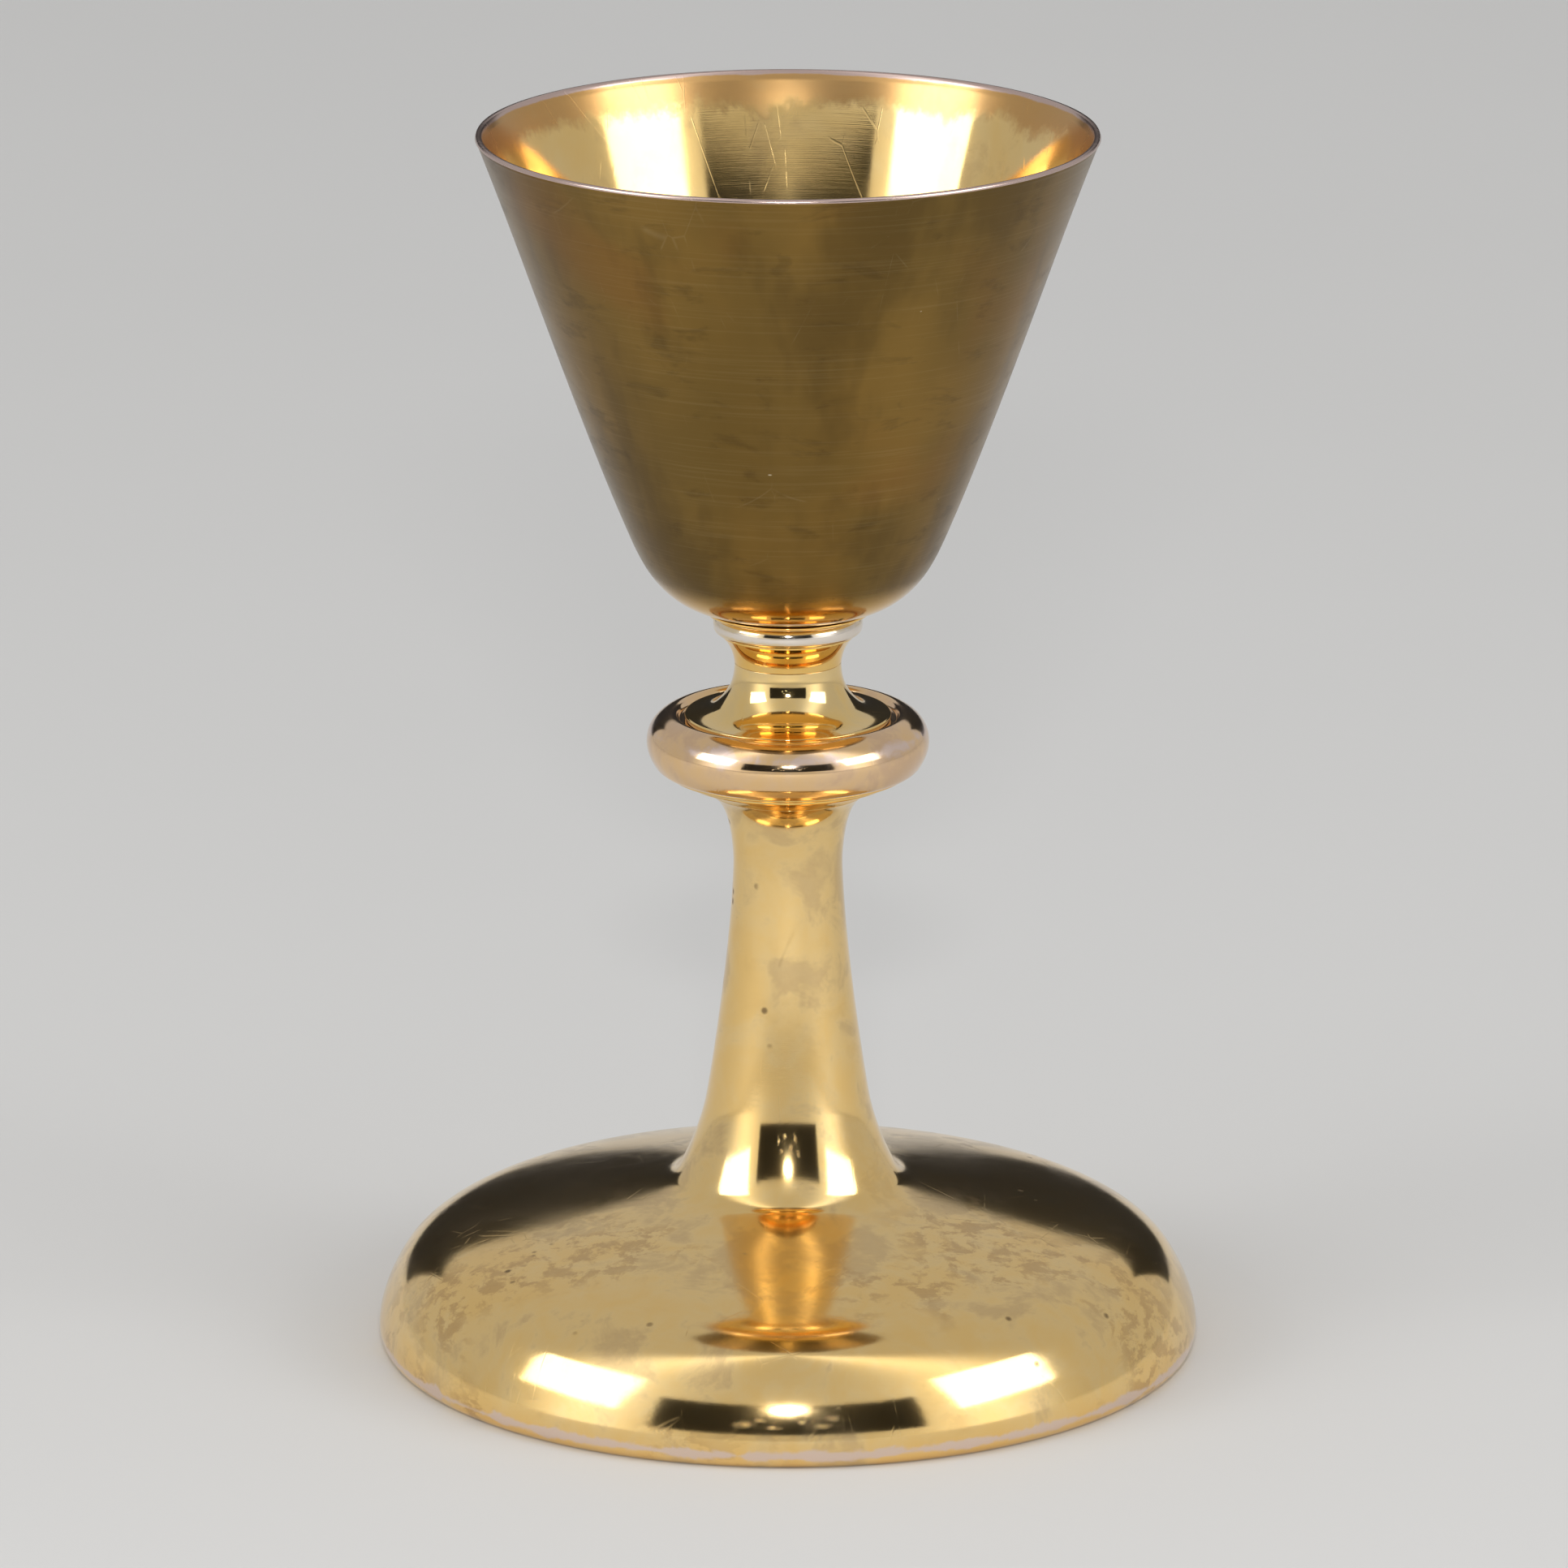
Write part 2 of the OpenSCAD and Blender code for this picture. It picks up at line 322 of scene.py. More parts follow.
def gilt(name, base, alt, rough=0.09, tarnish=0.5, tarnish_col=(0.55, 0.37, 0.17), seed=0.0,
         marks=0.25, specks=0.0, wear_col=(0.82, 0.66, 0.55), wear=None, scratch=0.5, smudge=0.1, leopard=0.0):
    """Gilded and polished metal: soft mottling, haze, hair scratches, spinning marks, pits and worn edges."""
    g = Graph(name)
    v = g.scaled(g.vector(), (1, 1, 1), (seed, seed * 0.7, seed * 1.3))
    big = g.noise(v, 38, 5, 0.6, 0.4)
    mid = g.noise(v, 120, 6, 0.62, 0.6)
    fine = g.noise(v, 900, 3, 0.6)
    turned = g.noise(g.scaled(g.round_marks(), (2.2, 2.2, 900)), 1.0, 4, 0.6)
    mott = g.math("ADD", g.math("MULTIPLY", big, 0.6), g.math("MULTIPLY", mid, 0.4))
    col = g.mix(g.step(mott, 0.38, 0.62), base, alt)
    patch = g.math("MULTIPLY", g.step(mott, 0.5, 0.57), tarnish)
    if leopard:
        spots = g.noise(g.scaled(v, (1, 1, 1.6), (2, 8, 5)), 230, 6, 0.66, 0.25)
        field = g.noise(g.scaled(v, (1, 1, 1), (6, 3, 1)), 30, 4, 0.6, 0.3)
        more = g.math("MULTIPLY", g.math("MULTIPLY", g.step(spots, 0.47, 0.58), g.step(field, 0.44, 0.6)), leopard)
        more = g.math("MULTIPLY", more, g.lerp(g.attr("dome"), 0.25, 1.0))
        patch = g.math("MAXIMUM", patch, more)
    patch = g.math("MULTIPLY", patch, g.lerp(fine, 0.7, 1.15), clamp=True)
    col = g.mix(patch, col, tarnish_col)
    scr = g.scratches(g.scaled(v, (1, 1, 1)), 90, 0.012, 0.56, seed + 1)
    rgh = g.math("ADD", rough, g.math("MULTIPLY", g.math("SUBTRACT", big, 0.45), smudge))
    rgh = g.math("ADD", rgh, g.math("MULTIPLY", patch, 0.10))
    rgh = g.math("ADD", rgh, g.math("MULTIPLY", scr, 0.16 * scratch))
    rgh = g.math("MAXIMUM", rgh, 0.035)
    if wear is not None:
        w = g.attr(wear)
        ragged = g.math("ADD", w, g.math("MULTIPLY", g.math("SUBTRACT", mid, 0.5), 0.9))
        worn = g.step(ragged, 0.45, 0.62)
        col = g.mix(worn, col, wear_col)
        rgh = g.math("ADD", rgh, g.math("MULTIPLY", worn, 0.05))
    if specks:
        dots = g.cells(v, 210)
        pick = g.step(g.noise(v, 60, 2), 0.6, 0.66)
        spot = g.math("MULTIPLY", g.math("SUBTRACT", 1, g.step(dots, 0.05, 0.16)), pick)
        spot = g.math("MULTIPLY", spot, specks)
        col = g.mix(spot, col, (0.16, 0.10, 0.05))
        rgh = g.math("ADD", rgh, g.math("MULTIPLY", spot, 0.3))
    height = g.math("ADD", g.math("MULTIPLY", turned, marks), g.math("MULTIPLY", scr, -1.2 * scratch))
    nrm = g.bump(height, 0.000012, 0.5)
    nrm = g.bump(mott, 0.00012, 0.25, nrm)
    return g.finish(col, rgh, nrm)


def satin_with_painted_shade(name, base, alt, smudge_and_painted_shade, rough=0.38, seed=0.0):
    """Brushed gilding, painted dark overall as painted shade standing for the dark surroundings the satin reflects:
    fine lines round the bowl, soft smudges, darker handled patches, tall darker bands of painted reflection, a bright
    turned foot ring.
    """
    g = Graph(name)
    v = g.scaled(g.vector(), (1, 1, 1), (seed, seed, seed))
    flat = g.scaled(g.vector(), (1, 1, 2.6), (seed * 2, 1, 3))
    tall = g.scaled(g.vector(), (1, 1, 0.3), (seed * 3, 2, 1))
    big = g.noise(v, 20, 4, 0.55, 0.3)
    painted_shade_bands = g.noise(tall, 60, 4, 0.55, 0.2)
    smear = g.noise(flat, 95, 6, 0.62, 0.5)
    ring = g.round_marks()
    line = g.noise(g.scaled(ring, (5, 5, 1500)), 1.0, 3, 0.7)
    long = g.noise(g.scaled(ring, (1.5, 1.5, 320)), 1.0, 3, 0.6)
    col = g.mix(g.step(big, 0.35, 0.65), base, alt)
    # painted reflection: tall darker bands stand in for the vertical bands the brushed satin reflects
    col = g.mix(g.math("MULTIPLY", g.step(painted_shade_bands, 0.48, 0.66), 0.45), col, smudge_and_painted_shade)
    blot = g.math("MULTIPLY", g.step(smear, 0.55, 0.68), 0.35)
    col = g.mix(blot, col, smudge_and_painted_shade)
    rosy = g.noise(g.scaled(v, (1, 1, 1), (9, 4, 2)), 26, 3, 0.5, 0.4)
    col = g.mix(g.math("MULTIPLY", g.step(rosy, 0.52, 0.7), 0.35), col, (base[0] * 1.05, base[1] * 0.78, base[2] * 0.75))
    col = g.mix(g.math("MULTIPLY", g.step(long, 0.5, 0.72), 0.035), col, (1, 0.8, 0.45))
    scr = g.scratches(v, 70, 0.006, 0.6, seed + 4)
    dots = g.cells(g.scaled(v, (1, 1, 1.4)), 160)
    pick = g.step(g.noise(v, 50, 2), 0.63, 0.66)
    spot = g.math("MULTIPLY", g.math("SUBTRACT", 1, g.step(dots, 0.03, 0.1)), pick)
    col = g.mix(g.math("MULTIPLY", spot, 0.8), col, (0.06, 0.04, 0.02))
    nick = g.math("MULTIPLY", g.math("SUBTRACT", 1, g.step(g.cells(g.scaled(v, (1, 2, 3), (5, 5, 5)), 120), 0.02, 0.05)),
                  g.step(g.noise(v, 70, 2), 0.6, 0.66))
    col = g.mix(g.math("MULTIPLY", nick, 0.7), col, (0.95, 0.85, 0.62))
    col = g.mix(g.math("MULTIPLY", scr, 0.05), col, (0.95, 0.8, 0.5))
    rgh = g.math("ADD", rough, g.math("MULTIPLY", g.math("SUBTRACT", smear, 0.5), 0.12))
    rgh = g.math("ADD", rgh, g.math("MULTIPLY", g.math("SUBTRACT", line, 0.5), 0.08))
    rgh = g.math("ADD", rgh, g.math("MULTIPLY", blot, 0.05))
    # the turned bottom of the bowl is left bright
    zz = g.node("ShaderNodeSeparateXYZ")
    g.put(zz.inputs[0], g.vector())
    edge = g.math("ADD", zz.outputs[2], g.math("MULTIPLY", g.math("SUBTRACT", smear, 0.5), 0.0015))
    upper = g.step(edge, 0.1225, 0.1284)
    dull = g.step(edge, 0.1250, 0.1284)
    col = g.mix(upper, (0.80, 0.48, 0.13), col)
    rgh = g.math("ADD", g.math("MULTIPLY", rgh, dull), g.math("MULTIPLY", g.math("SUBTRACT", 1, dull), 0.07))
    nrm = g.bump(line, 0.000008, 0.4)
    nrm = g.bump(smear, 0.00005, 0.1, nrm)
    g.bsdf.inputs["Anisotropic"].default_value = 0.8
    g.bsdf.inputs["Anisotropic Rotation"].default_value = 0.25
    tan = g.node("ShaderNodeTangent", direction_type="RADIAL", axis="Z")
    g.put(g.bsdf.inputs["Tangent"], tan.outputs[0])
    return g.finish(col, rgh, nrm)


def plain_metal(name, base, alt, rough, seed=0.0, rings=True, grime=0.4):
    g = Graph(name)
    v = g.scaled(g.vector(), (1, 1, 1), (seed, seed, seed))
    big = g.noise(v, 90, 5, 0.6, 0.3)
    fine = g.noise(v, 1400, 3, 0.6)
    xyz = g.node("ShaderNodeSeparateXYZ")
    g.put(xyz.inputs[0], g.vector())
    rad = g.math("SQRT", g.math("ADD", g.math("POWER", xyz.outputs[0], 2.0), g.math("POWER", xyz.outputs[1], 2.0)))
    tool = g.node("ShaderNodeCombineXYZ")
    g.put(tool.inputs[0], rad)
    g.put(tool.inputs[1], xyz.outputs[2])
    turned = g.noise(g.scaled(tool.outputs[0], (1, 1, 1)), 2600 if rings else 700, 3, 0.7)
    col = g.mix(g.step(big, 0.4, 0.62), base, alt)
    col = g.mix(g.math("MULTIPLY", g.step(fine, 0.55, 0.7), grime), col, (base[0] * 0.35, base[1] * 0.33, base[2] * 0.3))
    rgh = g.math("ADD", rough, g.math("MULTIPLY", g.math("SUBTRACT", big, 0.5), 0.25))
    rgh = g.math("ADD", rgh, g.math("MULTIPLY", g.math("SUBTRACT", turned, 0.5), 0.2))
    return g.finish(col, rgh, g.bump(turned, 0.00003, 0.5))


def hide(name, base, alt, rough=0.75, seed=0.0):
    g = Graph(name)
    v = g.scaled(g.vector(), (1, 1, 1), (seed, seed, seed))
    big = g.noise(v, 150, 5, 0.6, 0.5)
    grain = g.cells(v, 1600)
    col = g.mix(g.step(big, 0.4, 0.6), base, alt)
    col = g.mix(g.math("MULTIPLY", g.step(grain, 0.3, 0.8), 0.4), col, (base[0] * 0.4, base[1] * 0.4, base[2] * 0.4))
    return g.finish(col, g.lerp(big, rough - 0.1, rough + 0.1), g.bump(grain, 0.0001, 0.6), 0.0)


# ------------------------------------------------------------------ outlines, in mm
# bowl
cup_low = [(13.2, 121), (20.2, 122.8), (22.9, 127.9), (25.4, 134.2)]
cup_mid = [(25.4, 134.2), (29.2, 143), (35, 159), (41, 176)]
cup_top = [(41, 176), (43.6, 183.4), (46.4, 191), (48.3, 195.9)]
cup_skin = smooth(chain(curve([(8.4, 120.5), (10.6, 120.5), (12.2, 120.8), (13.2, 121)]),
                        curve(cup_low), curve(cup_mid), curve(cup_top)), 1.2, 0.45)
cup_in = offset(cup_skin, 1.1)
cup_lip = [(48.64, 196.45), (48.5, 196.8), (48.4, 196.96), (48.1, 197.0), (47.8, 196.96), (47.6, 196.8), (47.5, 196.5)]
cup_pts = chain([(0, 120.5), (4, 120.5)], cup_skin, cup_lip, cup_in[::-1][1:], [(4, 121.6), (0, 121.6)])

flange_pts = rounded(chain(
    [(6.1, 119.9), (11.5, 119.9)],
    curve([(11.5, 119.9), (12.1, 119.9), (12.7, 120.1), (13, 120.45)], 0.12),
    [(13, 120.7), (12.85, 120.76), (12.1, 120.62), (10.4, 120.46), (8.4, 120.42), (6.1, 120.42)]), 0.08, 30)

ring_pts = rounded(chain(
    [(7, 116.92), (10.5, 116.92)],
    curve([(10.5, 116.92), (11.4, 116.92), (11.8, 117.4), (11.8, 118.25)], 0.12),
    curve([(11.8, 118.25), (11.8, 119.1), (11.5, 119.75), (11, 119.75)], 0.12),
    [(10.5, 119.75), (10.5, 119.33), (7, 119.33)]), 0.1, 30)

mould_pts = rounded(chain(
    [(6.3, 112.12), (8.45, 112.12)],
    curve([(8.45, 112.12), (8.6, 113.6), (9.2, 115.2), (10.4, 116.4)], 0.15),
    [(10.6, 116.6), (10.6, 116.9), (6.3, 116.9)]), 0.1, 30)

upper_skin = smooth(chain([(8.43, 112.1), (8.43, 111.4)],
                          curve([(8.46, 111), (8.6, 108.6), (9.6, 106.6), (11.9, 104.8)], 0.2),
                          curve([(11.9, 104.8), (13, 104.1), (14.6, 103.8), (16.1, 103.75)], 0.2)), 0.5, 0.18)
upper_pts = rounded(chain(
    upper_skin, [(16.3, 103.6), (16.3, 103.3), (16.1, 102.85), (14.6, 102.8)],
    curve([(13, 102.9), (10.2, 104.4), (7.6, 107.4), (7.4, 111)], 0.4), [(7.4, 112.1)]), 0.08, 30)

band_skin = smooth(chain(
    curve([(17.4, 103.3), (17.6, 103.8), (18, 104), (18.6, 103.9)], 0.15),
    curve([(18.6, 103.9), (20.6, 103.4), (22.3, 101.6), (22.3, 99.2)], 0.15),
    curve([(22.3, 99.2), (22.3, 98), (21.9, 97), (21.3, 96)], 0.15),
    curve([(21.3, 96), (20.9, 95.2), (20.3, 94.75), (19.4, 94.7)], 0.15)), 0.25, 0.12)
band_in = offset(band_skin, -1.0)
band_pts = rounded(chain(
    band_skin, [(18.6, 94.7), (18.6, 95.7)],
    band_in[-14:12:-1], [(18.2, 102.2), (15.2, 102.2), (15.2, 102.78), (17.1, 102.78)]), 0.1, 35)

lower_pts = rounded(chain(
    [(10.8, 91.02), (12.4, 91.02)],
    curve([(12.4, 91.02), (13.4, 92.1), (14.8, 92.8), (16.2, 93)], 0.15),
    [(16.7, 93.05), (16.95, 93.3), (16.95, 93.7), (17.2, 94), (19, 94.15), (19.4, 94.4),
     (19.4, 94.68), (16.2, 94.68), (14.4, 94.2), (12.6, 93.4), (10.8, 92.2)]), 0.16, 22)

# stem and foot
stem_top = [(12.4, 91), (10.1, 89.6), (9, 86.6), (8.62, 80)]
stem_mid = [(8.62, 80), (8.75, 70), (11, 52), (13.1, 40)]
flare = [(13.1, 40), (14, 36), (15.5, 32), (17.5, 28.4)]
turn_out = [(17.5, 28.4), (18.1, 27.3), (19.2, 26.7), (21.5, 26.2)]
slope_a = [(21.5, 26.2), (30, 24.35), (44, 21.9), (52, 19.6)]
shoulder = [(52, 19.6), (57, 18.2), (60.8, 15.4), (62.4, 12.1)]
roll = [(62.4, 12.1), (63.6, 10.2), (65.4, 6.2), (65.4, 3)]
under = [(65.4, 3), (65.4, 1.3), (64.6, 0.3), (63.4, 0)]
foot_skin = smooth(chain(curve(stem_top), curve(stem_mid), curve(flare), curve(turn_out, 0.25), curve(slope_a),
                         curve(shoulder), curve(roll), curve(under)), 0.8, 0.3)
foot_in = offset(resample(foot_skin, 1.0), -1.0)
foot_pts = rounded(chain(foot_skin, [(62.4, 0)], [p for p in foot_in[::-1] if p[1] > 1.5][0:-2], [(10.9, 91)]), 0.15, 40)


# ------------------------------------------------------------------ pieces
def made(name, pts, body, node, n=288):
    ob = solid_of_turning(name, pts, n)
    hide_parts(node)
    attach(ob, body)
    return ob


cup = made("gilt_bowl", cup_pts, "bowl", "cup", 320)
flange = made("dished_flange", flange_pts, "bowl", "saucer_flange")
ring = made("bright_ring", ring_pts, "stand", "neck_ring")
mould = made("hollow_moulding", mould_pts, "stand", "neck_moulding")
upper = made("knop_trumpet", upper_pts, "stand", "knop_upper_shell")
band = made("knop_ring_band", band_pts, "stand", "knop_band")
lower = made("knop_underside", lower_pts, "stand", "knop_lower_shell")
foot = made("stem_and_foot", foot_pts, "stand", "foot_shell", 384)


# threaded tie rod
def threaded_rod(name, z0, z1, zt, r, pitch, depth, n=48):
    """A rod from z0 to z1 with a right-hand thread from z0 up to zt."""
    rows = []
    step = pitch / 10
    z = z0
    while z < zt:
        rows.append(z)
        z += step
    rows += [zt, zt + 0.01, z1]
    verts, faces = [(0, 0, z0 * MM)], []
    for z in rows:
        for k in range(n):
            a = 2 * math.pi * k / n
            ph = ((z - z0) / pitch - k / n) % 1.0
            tri = abs(2 * ph - 1)
            d = depth * min(1.0, max(0.0, (tri - 0.12) / 0.76))
            lead = min(1.0, max(0.0, (z - z0) / 0.7))
            rr = r - d if z <= zt else r - 0.02
            if z > zt:
                rr = r
            rr = min(rr, r - 0.6 + 0.6 * lead)
            verts.append((rr * math.cos(a) * MM, rr * math.sin(a) * MM, z * MM))
    m = len(rows)
    for k in range(n):
        faces.append((0, 1 + (k + 1) % n, 1 + k))
    for i in range(m - 1):
        for k in range(n):
            a, b = 1 + i * n + k, 1 + i * n + (k + 1) % n
            faces.append((a, b, b + n, a + n))
    top = len(verts)
    verts.append((0, 0, z1 * MM))
    for k in range(n):
        a, b = 1 + (m - 1) * n + k, 1 + (m - 1) * n + (k + 1) % n
        faces.append((a, b, top))
    me = bpy.data.meshes.new(name)
    me.from_pydata(verts, [], faces)
    me.polygons.foreach_set("use_smooth", [True] * len(me.polygons))
    me.set_sharp_from_angle(angle=math.radians(50))
    me.update()
    ob = bpy.data.objects.new(name, me)
    bpy.context.scene.collection.objects.link(ob)
    return ob


rod_lo, rod_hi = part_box("tie_rod")
rod = threaded_rod("threaded_tie_rod", rod_lo.z / MM, rod_hi.z / MM, rod_lo.z / MM + 26, 3.0, 1.0, 0.55)
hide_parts("tie_rod")
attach(rod, "bowl")

# ------------------------------------------------------------------ finishes
r, z = coords(foot)
wear = np.clip(1 - np.abs(z - 2.4) / 3.0, 0, 1) * (r > 63.0) * 0.68
attribute(foot, "wear", wear)
attribute(foot, "dome", np.clip((r - 20) / 8, 0, 1))
foot_mat = gilt("gilt_foot", (0.93, 0.63, 0.24), (0.92, 0.69, 0.34), 0.1, tarnish=0.34, seed=3.1, marks=0.2, specks=0.8,
                tarnish_col=(0.44, 0.255, 0.11), wear="wear", wear_col=(0.82, 0.66, 0.56), leopard=0.5)
foot.data.materials.append(foot_mat)

upper.data.materials.append(gilt("gilt_trumpet", GOLD, GOLD_PALE, 0.06, tarnish=0.12, seed=5.0, marks=0.15))
lower.data.materials.append(gilt("gilt_underside", GOLD_DEEP, GOLD, 0.09, tarnish=0.3, seed=6.0, marks=0.2))
mould.data.materials.append(gilt("gilt_moulding", GOLD_DEEP, GOLD, 0.07, tarnish=0.1, seed=7.0, marks=0.15))
flange.data.materials.append(gilt("gilt_flange", GOLD_DEEP, GOLD, 0.07, tarnish=0.1, seed=8.0, marks=0.15))

r, z = coords(ring)
attribute(ring, "wear", np.clip(0.75 - np.abs(z - 118.3) / 2.6, 0, 1) * (r > 10.8))
ring.data.materials.append(gilt("worn_ring", (0.86, 0.68, 0.40), (0.84, 0.74, 0.6), 0.09, tarnish=0.25, seed=9.0,
                                tarnish_col=(0.5, 0.38, 0.26), wear="wear", wear_col=(0.85, 0.77, 0.68)))
r, z = coords(band)
attribute(band, "wear", np.clip(0.55 - np.abs(z - 101.6) / 9, 0, 1) * (r > 18))
band.data.materials.append(gilt("worn_band", (0.90, 0.60, 0.29), (0.86, 0.62, 0.40), 0.085, tarnish=0.3, seed=11.0,
                                tarnish_col=(0.55, 0.34, 0.22), wear="wear", wear_col=(0.84, 0.66, 0.56)))

# painted shade: the bowl's colours are kept far darker than the gilding elsewhere, standing in for the dark
# surroundings its satin reflects
cup.data.materials.append(satin_with_painted_shade("satin_bowl_painted_shade", (0.26, 0.155, 0.04), (0.19, 0.118, 0.033), (0.085, 0.054, 0.02), 0.32, seed=2.0))
r, z = coords(cup)
# 1 at the very edge of the rim, and a ragged tarnish line just under it on the inside
attribute(cup, "lip", np.clip((z - 196.0) / 0.8, 0, 1))
attribute(cup, "under_rim", np.clip((z - 184) / 11, 0, 1))
attribute(cup, "deep", np.clip((150 - z) / 30, 0, 1))


def bowl_inside(name):
    """Polished gilding inside the bowl: hair scratches, ragged orange-brown tarnish under the rim."""
    g = Graph(name)
    v = g.vector()
    big = g.noise(v, 30, 5, 0.6, 0.5)
    mid = g.noise(g.scaled(v, (1, 1, 0.8), (3, 1, 2)), 110, 6, 0.65, 0.2)
    fine = g.noise(v, 900, 3, 0.6)
    col = g.mix(g.step(big, 0.38, 0.62), (0.90, 0.66, 0.30), (0.90, 0.62, 0.24))
    rim = g.attr("under_rim")
    stain = g.step(g.math("ADD", g.math("MULTIPLY", rim, 0.55), g.math("MULTIPLY", mid, 0.6)), 0.62, 0.76)
    col = g.mix(g.math("MULTIPLY", stain, 0.75), col, (0.50, 0.26, 0.09))
    soft = g.math("MULTIPLY", g.step(mid, 0.52, 0.66), 0.3)
    col = g.mix(soft, col, (0.60, 0.40, 0.18))
    lip = g.step(g.math("ADD", g.attr("lip"), g.math("MULTIPLY", g.math("SUBTRACT", mid, 0.5), 0.8)), 0.35, 0.6)
    col = g.mix(lip, col, (0.62, 0.47, 0.42))
    scr = g.scratches(v, 80, 0.008, 0.55, 21)
    rgh = g.math("ADD", 0.055, g.math("MULTIPLY", stain, 0.16))
    rgh = g.math("ADD", rgh, g.math("MULTIPLY", scr, 0.1))
    rgh = g.math("ADD", rgh, g.math("MULTIPLY", g.step(big, 0.4, 0.7), 0.06))
    turned = g.noise(g.scaled(g.round_marks(), (2.2, 2.2, 700)), 1.0, 4, 0.6)
    height = g.math("ADD", g.math("MULTIPLY", turned, 0.5), g.math("MULTIPLY", scr, -0.7))
    height = g.math("ADD", height, g.math("MULTIPLY", fine, 0.15))
    nrm = g.bump(height, 0.00001, 0.5)
    nrm = g.bump(big, 0.0002, 0.08, nrm)
    return g.finish(col, rgh, nrm)


cup.data.materials.append(bowl_inside("bowl_inside"))
# faces were written outline step by outline step, so their order tells outside from inside
outer = len(chain([(0, 120.5), (4, 120.5)], cup_skin))
count = 0
flags = np.zeros(len(cup.data.polygons), np.int32)
for i in range(len(cup_pts)):
    a, b = cup_pts[i], cup_pts[(i + 1) % len(cup_pts)]
    if a[0] < 1e-6 and b[0] < 1e-6:
        continue
    flags[count:count + 320] = 1 if i >= outer else 0
    count += 320
cup.data.polygons.foreach_set("material_index", flags)

brass = plain_metal("turned_brass", (0.68, 0.48, 0.20), (0.55, 0.39, 0.17), 0.32, 1.0)
steel = plain_metal("plated_steel", (0.60, 0.60, 0.60), (0.46, 0.46, 0.47), 0.34, 2.0, rings=False)
leather = hide("packing_leather", (0.22, 0.12, 0.06), (0.15, 0.08, 0.04))
for node, mat in (("cup_boss", brass), ("spacer_tube", brass), ("stem_bush", brass), ("foot_rim_wire", brass),
                  ("tension_plate", brass), ("clamp_nut", brass), ("flat_washer", steel), ("lock_washer", steel),
                  ("packing_ring", leather), ("plate_pad", leather)):
    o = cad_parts[node]
    o.data.materials.clear()
    o.data.materials.append(mat)
rod.data.materials.append(steel)

# ------------------------------------------------------------------ stage
floor_me = bpy.data.meshes.new("floor")
floor_me.from_pydata([(-4, -4, 0), (4, -4, 0), (4, 4, 0), (-4, 4, 0)], [], [(0, 1, 2, 3)])
floor = bpy.data.objects.new("floor", floor_me)
bpy.context.scene.collection.objects.link(floor)
g = Graph("pale_floor")
fv = g.vector()
g.finish(g.mix(g.noise(fv, 3, 3), (0.66, 0.655, 0.645), (0.69, 0.685, 0.675)), g.lerp(g.noise(fv, 40, 3), 0.78, 0.86), None, 0.0)
g.bsdf.inputs["Specular IOR Level"].default_value = 0.2
floor.data.materials.append(g.mat)

world = bpy.data.worlds.new("studio")
bpy.context.scene.world = world
world.use_nodes = True
sky = world.node_tree


def sky_math(op, a, b=None):
    n = sky.nodes.new("ShaderNodeMath")
    n.operation = op
    for s, v in zip(n.inputs, (a, b)):
        if isinstance(v, bpy.types.NodeSocket):
            sky.links.new(v, s)
        elif v is not None:
            s.default_value = v
    return n.outputs[0]


# a soft tent: a little brighter in two tall, soft-edged fields to the front left and front right
sky_xyz = sky.nodes.new("ShaderNodeSeparateXYZ")
sky.links.new(sky.nodes.new("ShaderNodeTexCoord").outputs["Generated"], sky_xyz.inputs[0])
sx, sy = sky_xyz.outputs[0], sky_xyz.outputs[1]
flat_len = sky_math("SQRT", sky_math("ADD", sky_math("ADD", sky_math("MULTIPLY", sx, sx), sky_math("MULTIPLY", sy, sy)), 0.0001))
across = sky_math("DIVIDE", sy, flat_len)
off = sky_math("DIVIDE", sky_math("ADD", across, 0.52), 0.27)
field = sky_math("EXPONENT", sky_math("MULTIPLY", sky_math("MULTIPLY", off, off), -1.0))
level = sky_math("ADD", sky_math("MULTIPLY", field, 0.85), 0.52)
sky.nodes["Background"].inputs[0].default_value = (1, 1, 1, 1)
sky.links.new(level, sky.nodes["Background"].inputs[1])


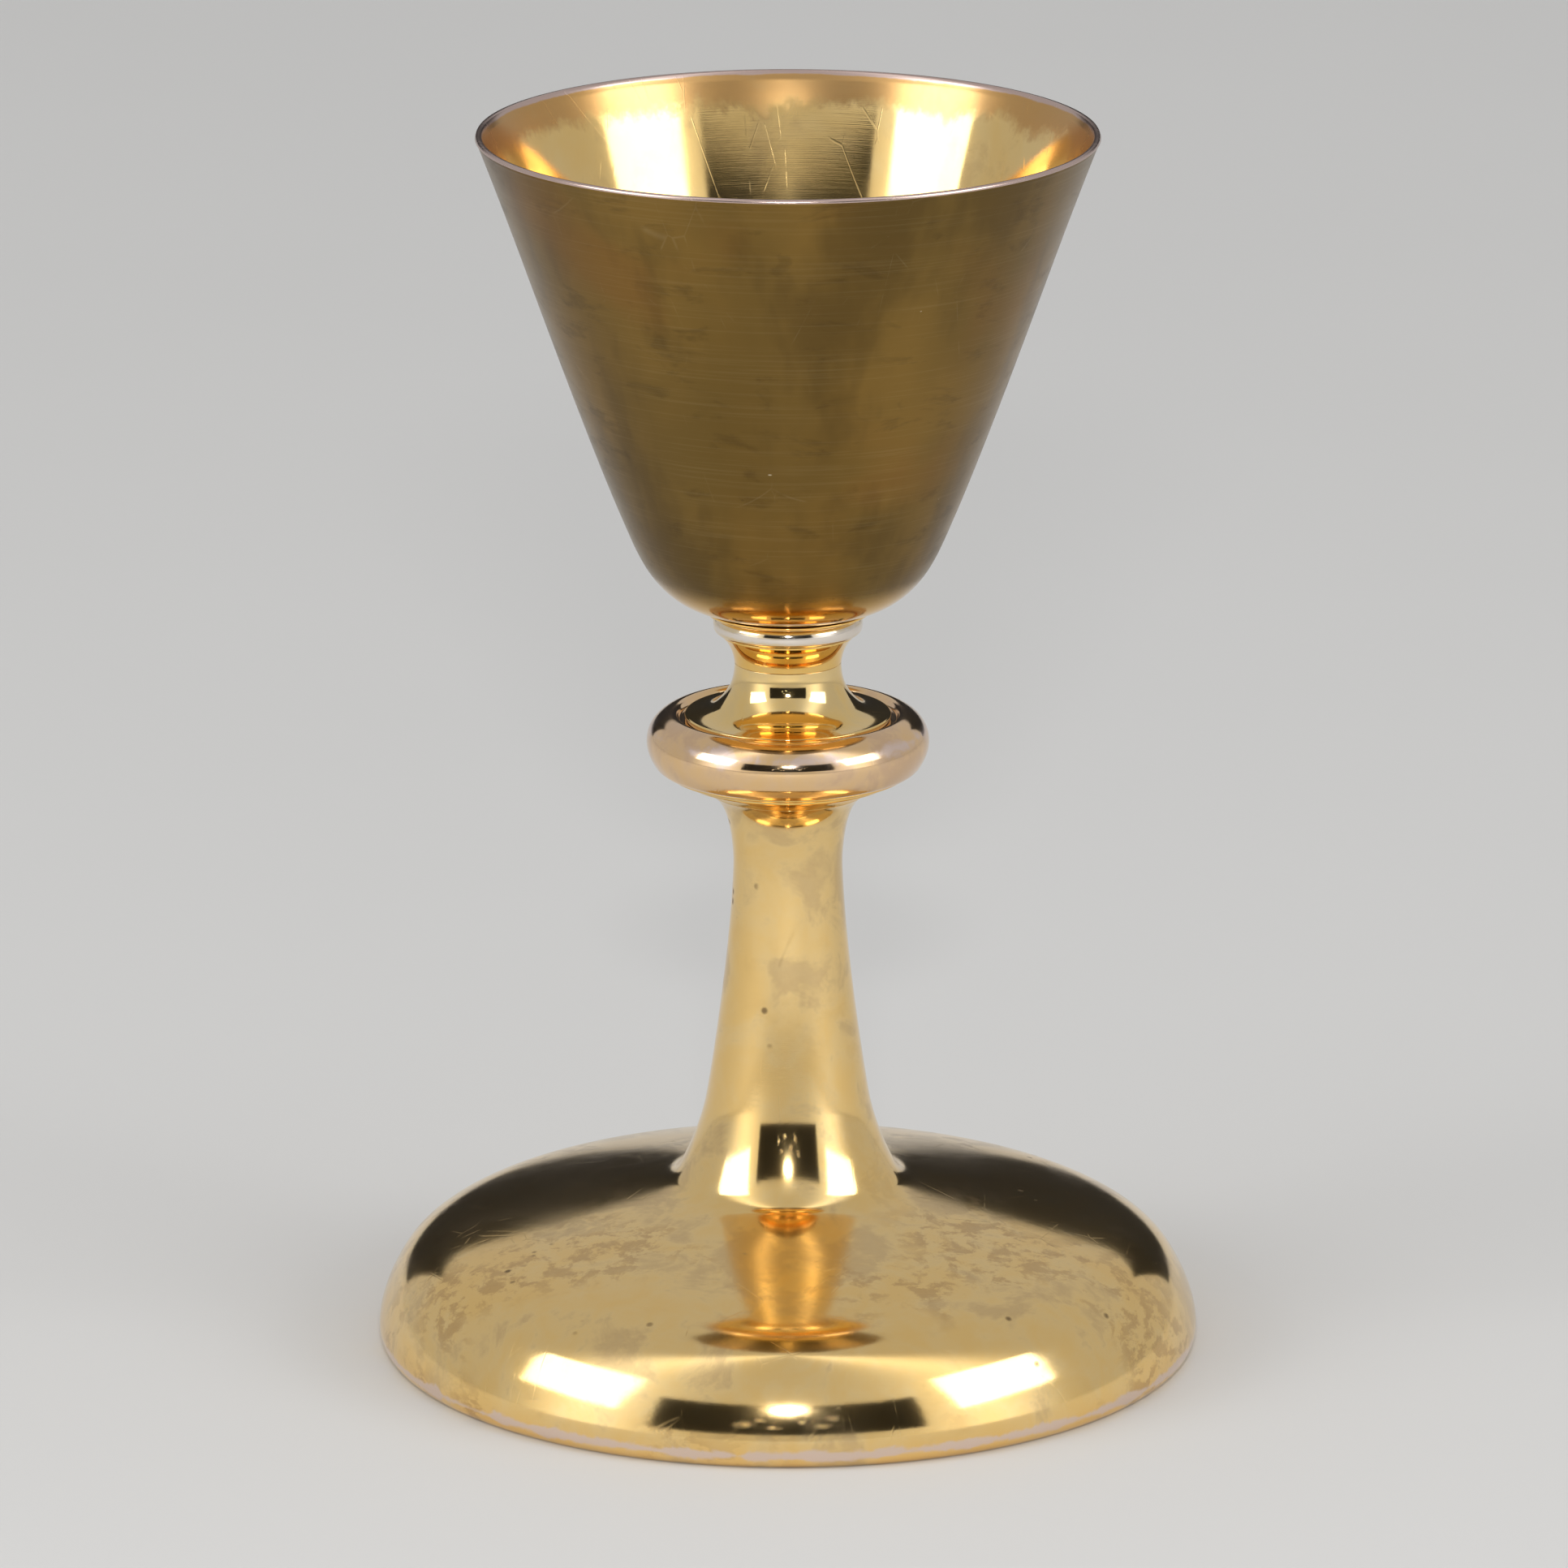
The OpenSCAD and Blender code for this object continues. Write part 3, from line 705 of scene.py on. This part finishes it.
def soft_light(name, az, el, dist, size, power, color=(1, 1, 1), target=(0, 0, 0.08)):
    """A softbox az degrees round from behind the object, el above the table, aimed at it."""
    a, e = math.radians(az), math.radians(el)
    t = Vector(target)
    li = bpy.data.lights.new(name, "AREA")
    li.shape = "RECTANGLE"
    li.size, li.size_y = size
    li.energy = power
    li.color = color
    ob = bpy.data.objects.new(name, li)
    ob.location = t + dist * Vector((math.sin(a) * math.cos(e), math.cos(a) * math.cos(e), math.sin(e)))
    ob.rotation_euler = (t - ob.location).to_track_quat("-Z", "Y").to_euler()
    bpy.context.scene.collection.objects.link(ob)
    return ob


def dark_card(name, az, el0, el1, half, dist):
    """A black flag outside the picture, seen only in reflections."""
    verts, faces = [], []
    n = 24
    for i in range(n + 1):
        a = math.radians(az - half + 2 * half * i / n)
        for el in (el0, el1):
            e = math.radians(el)
            verts.append((dist * math.sin(a), dist * math.cos(a), 0.05 + dist * math.tan(e)))
    for i in range(n):
        faces.append((2 * i, 2 * i + 1, 2 * i + 3, 2 * i + 2))
    me = bpy.data.meshes.new(name)
    me.from_pydata(verts, [], faces)
    ob = bpy.data.objects.new(name, me)
    bpy.context.scene.collection.objects.link(ob)
    gg = Graph(name)
    gg.finish((0.02, 0.02, 0.022), 0.9, None, 0.0)
    me.materials.append(gg.mat)
    ob.visible_camera = False
    ob.visible_diffuse = False
    ob.visible_shadow = False
    return ob


soft_light("softbox_left", -115, 26, 1.7, (0.95, 0.66), 6)
soft_light("softbox_right", 115, 26, 1.7, (0.95, 0.66), 6)
soft_light("small_front", 180, 24, 1.2, (0.10, 0.05), 3.5)
for i, (az, el, size) in enumerate(((171, 13, 0.02), (176, 17, 0.014), (184, 12, 0.018), (188, 18, 0.014),
                                    (192, 14, 0.02), (167, 19, 0.016))):
    soft_light("spark_%d" % i, az, el, 2.0, (size, size), 60 * size * size)
dark_card("flag_back", 0, 0, 22, 34, 2.4)
dark_card("flag_front", 180, 6, 30, 38, 2.4)

cam = bpy.data.cameras.new("camera")
cam.sensor_width = 36
cam.lens = 13016.6 * 36 / 1932
cam.clip_start, cam.clip_end = 0.05, 50
cam_ob = bpy.data.objects.new("camera", cam)
cam_ob.location = (0, -1.60697, 0.54256)
cam_ob.rotation_euler = (math.radians(90 - 15.664), 0, 5 / 13016.6)
bpy.context.scene.collection.objects.link(cam_ob)
bpy.context.scene.camera = cam_ob
bpy.context.scene.view_settings.view_transform = "Standard"
